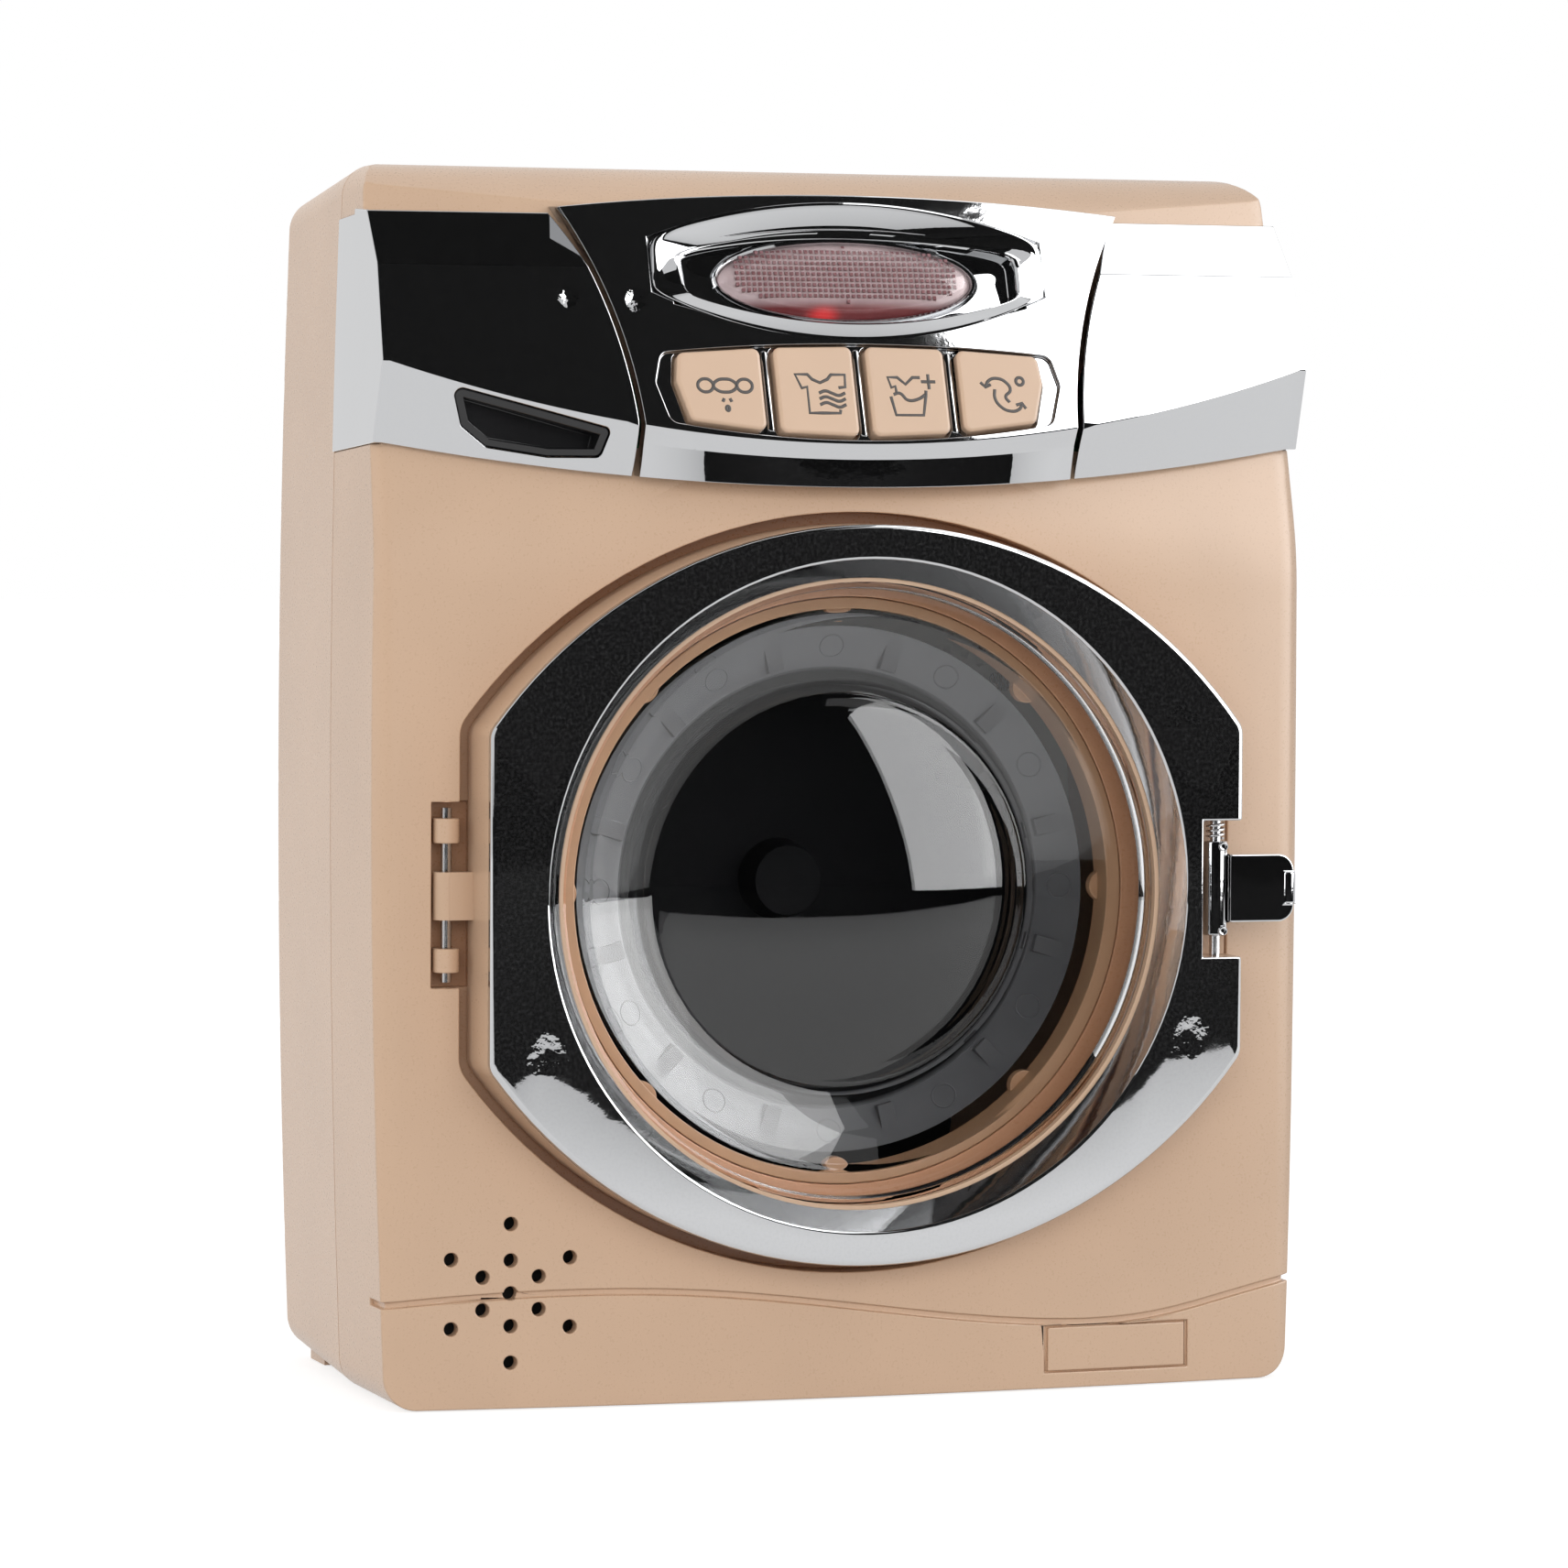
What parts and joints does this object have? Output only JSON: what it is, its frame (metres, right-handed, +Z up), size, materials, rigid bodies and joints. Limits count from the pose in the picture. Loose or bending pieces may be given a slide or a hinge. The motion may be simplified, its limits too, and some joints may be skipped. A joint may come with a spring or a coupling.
{
  "type": "toy washing machine",
  "caption": "Toy front-loading washing machine with a hinged window door, turning drum, push buttons and lit display.",
  "frame": {"origin": "on the floor under the middle of the machine", "axes": "+Z up, -Y out of the door, +X to the right seen from the front"},
  "size_m": [0.1352, 0.072, 0.17],
  "materials": {
    "cabinet_plastic": "satin",
    "door_plastic": "satin",
    "key_plastic": "satin",
    "chrome_plating": "polished",
    "clear_window": "clear",
    "red_lens": "clear",
    "black_plastic": "matte",
    "drum_plastic": "satin",
    "gear_plastic": "matte",
    "steel": "bright",
    "bronze": "plain",
    "silicone": "matte",
    "circuit_board": "satin",
    "lamp_red": "gloss",
    "speaker_paper": "matte",
    "battery_jacket": "gloss"
  },
  "bodies": {
    "cabinet": {"front_shell": "cabinet_plastic", "rear_shell": "cabinet_plastic", "battery_door": "cabinet_plastic", "port_ring": "door_plastic", "console_centre": "chrome_plating", "console_left": "chrome_plating", "console_right": "chrome_plating", "display_bezel": "chrome_plating", "display_lens": "red_lens", "drawer_pull": "black_plastic", "display_mask": "black_plastic", "battery_tray": "black_plastic", "power_switch": "black_plastic", "drive_plate": "gear_plastic", "hinge_pin": "steel", "motor": "steel", "case_screws": "steel", "plate_screws": "steel", "motor_screws": "steel", "board_screws": "steel", "battery_door_screw": "steel", "battery_contacts": "steel", "speaker": "steel", "drum_bush": "bronze", "keypad_mat": "silicone", "control_board": "circuit_board", "display_leds": "lamp_red", "speaker_cone": "speaker_paper", "battery_cells": "battery_jacket"},
    "door": {"door_frame": "door_plastic", "door_trim": "chrome_plating", "door_window": "clear_window", "window_retainer": "door_plastic", "trim_screws": "steel", "latch_pin": "steel", "latch_spring": "steel"},
    "latch": {"door_latch": "chrome_plating"},
    "drum": {"drum": "drum_plastic", "drum_shaft": "steel", "drum_gear": "gear_plastic", "shaft_clip": "steel"},
    "pinion": {"motor_pinion": "gear_plastic", "motor_shaft": "steel"},
    "switch": {"switch_knob": "black_plastic"},
    "key_twist": {"button_twist": "key_plastic"},
    "key_shirt": {"button_shirt": "key_plastic"},
    "key_tub": {"button_tub": "key_plastic"},
    "key_cycle": {"button_cycle": "key_plastic"}
  },
  "joints": [
    {"name": "door_hinge", "type": "hinge", "parent": "cabinet", "child": "door", "pos_m": [-0.0577, -0.025, 0.0702], "axis": [0, 0, -1], "range_deg": [0, 100]},
    {"name": "latch_pivot", "type": "hinge", "parent": "door", "child": "latch", "pos_m": [0.0512, -0.0334, 0.0702], "axis": [0, 0, -1], "range_deg": [0, 12], "stiffness_Nm_per_rad": 0.01, "springref_deg": -14.32},
    {"name": "drum_spin", "type": "hinge", "parent": "cabinet", "child": "drum", "pos_m": [0, 0, 0.0699], "axis": [0, 1, 0], "continuous": true},
    {"name": "motor_spin", "type": "hinge", "parent": "cabinet", "child": "pinion", "pos_m": [0.02899, 0.012, 0.09889], "axis": [0, 1, 0], "continuous": true},
    {"name": "switch_slide", "type": "slide", "parent": "cabinet", "child": "switch", "axis": [1, 0, 0], "range_m": [0, 0.003]},
    {"name": "press_twist", "type": "slide", "parent": "cabinet", "child": "key_twist", "axis": [0, 0.9438, -0.3305], "range_m": [0, 0.0012], "stiffness_N_per_m": 250, "springref_m": -0.001},
    {"name": "press_shirt", "type": "slide", "parent": "cabinet", "child": "key_shirt", "axis": [0, 0.9438, -0.3305], "range_m": [0, 0.0012], "stiffness_N_per_m": 250, "springref_m": -0.001},
    {"name": "press_tub", "type": "slide", "parent": "cabinet", "child": "key_tub", "axis": [0, 0.9438, -0.3305], "range_m": [0, 0.0012], "stiffness_N_per_m": 250, "springref_m": -0.001},
    {"name": "press_cycle", "type": "slide", "parent": "cabinet", "child": "key_cycle", "axis": [0, 0.9438, -0.3305], "range_m": [0, 0.0012], "stiffness_N_per_m": 250, "springref_m": -0.001}
  ],
  "couplings": [
    {"joint": "motor_spin", "follows": "drum_spin", "ratio": -7.2}
  ]
}
